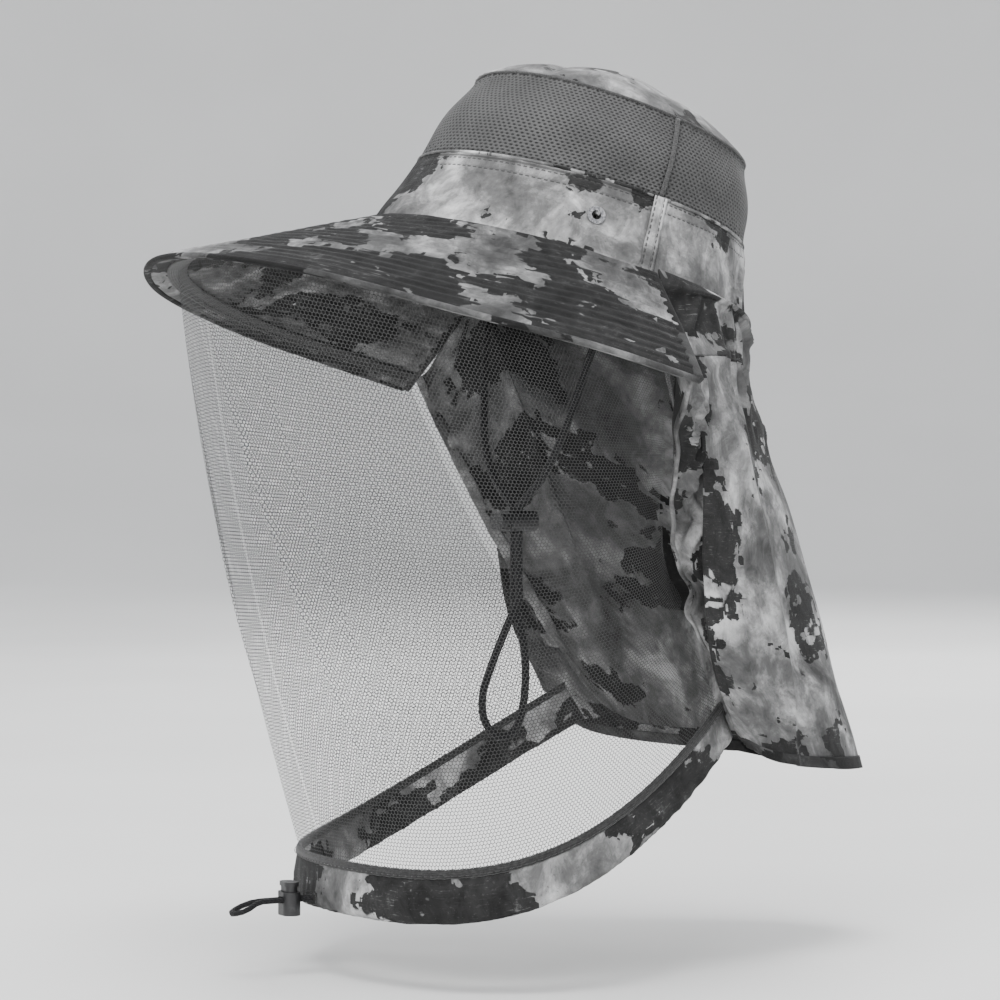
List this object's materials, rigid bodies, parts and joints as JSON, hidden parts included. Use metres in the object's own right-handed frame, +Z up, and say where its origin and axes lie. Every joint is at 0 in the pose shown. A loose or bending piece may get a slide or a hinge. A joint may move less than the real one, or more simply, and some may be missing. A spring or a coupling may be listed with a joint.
{
  "type": "beekeeping veil",
  "caption": "Brimmed sun hat with a face net hung from the brim, a rear panel, a drawcord hem band, a neck cape and a chin cord with cord locks.",
  "frame": {"origin": "centre of the head opening, in the plane of the crown's lower edge, as the hat is worn", "axes": "+Z up, -Y towards the wearer's front (the brim and face net), +X towards the wearer's left; the hat leans back 16 degrees about X"},
  "size_m": [0.304, 0.3887, 0.4201],
  "materials": {
    "camo_cloth": "printed woven polyester, matt",
    "camo_dark_cloth": "printed woven polyester, matt",
    "air_mesh": "knitted air mesh",
    "face_mesh": "fine hexagonal netting",
    "black_webbing": "black bias tape and wicking band",
    "elastic_white": "woven elastic",
    "brim_foam": "closed-cell foam sheet",
    "eyelet_metal": "nickel plated",
    "spring_steel": "spring wire",
    "cord_black": "braided cord",
    "lock_plastic": "moulded plastic"
  },
  "bodies": {
    "hat": {"crown_top": "camo_cloth", "crown_mesh_front": "air_mesh", "crown_mesh_rear": "air_mesh", "crown_band_front": "camo_cloth", "crown_band_rear": "camo_cloth", "crown_top_tape": "black_webbing", "side_seam_tapes": "camo_cloth", "side_eyelets": "eyelet_metal", "eyelet_washers": "eyelet_metal", "sweatband": "black_webbing", "rear_elastic": "elastic_white", "brim_upper": "camo_cloth", "brim_stiffener": "brim_foam", "brim_lower": "camo_cloth", "brim_binding": "camo_cloth", "cord_tabs": "black_webbing", "veil_tape": "black_webbing", "face_net": "face_mesh", "rear_panel": "camo_dark_cloth", "panel_bindings": "camo_cloth", "cape_collar": "camo_cloth", "chin_cord": "cord_black"},
    "hem": {"hem_band": "camo_cloth", "hem_binding": "black_webbing", "buttonhole_stitching": "black_webbing", "hem_drawcord": "cord_black"},
    "hem_lock": {"hem_lock_body": "lock_plastic", "hem_lock_spring": "spring_steel"},
    "hem_button": {"hem_lock_button": "lock_plastic"},
    "cape": {"neck_cape": "camo_cloth", "cape_hem": "camo_dark_cloth"},
    "chin_lock": {"chin_lock_body": "lock_plastic", "chin_lock_spring": "spring_steel"},
    "chin_button": {"chin_lock_button": "lock_plastic"}
  },
  "joints": [
    {"name": "cape_flip", "type": "hinge", "parent": "hat", "child": "cape", "pos_m": [0, 0.105, -0.054], "axis": [1, 0, 0], "range_deg": [0, 60]},
    {"name": "veil_lift", "type": "slide", "parent": "hat", "child": "hem", "axis": [0, 0, 1], "range_m": [0, 0.11], "deforming": ["face_net", "rear_panel", "panel_bindings"]},
    {"name": "hem_lock_slide", "type": "slide", "parent": "hem", "child": "hem_lock", "axis": [0, -1, 0], "range_m": [0, 0.007]},
    {"name": "hem_button_press", "type": "slide", "parent": "hem_lock", "child": "hem_button", "axis": [0, 0, -1], "range_m": [0, 0.0022], "stiffness_N_per_m": 200, "springref_m": -0.002, "deforming": ["hem_lock_spring"]},
    {"name": "chin_lock_slide", "type": "slide", "parent": "hat", "child": "chin_lock", "axis": [0, 0, -1], "range_m": [0, 0.022]},
    {"name": "chin_button_press", "type": "slide", "parent": "chin_lock", "child": "chin_button", "axis": [0, 1, 0], "range_m": [0, 0.003], "stiffness_N_per_m": 200, "springref_m": -0.002, "deforming": ["chin_lock_spring"]}
  ]
}
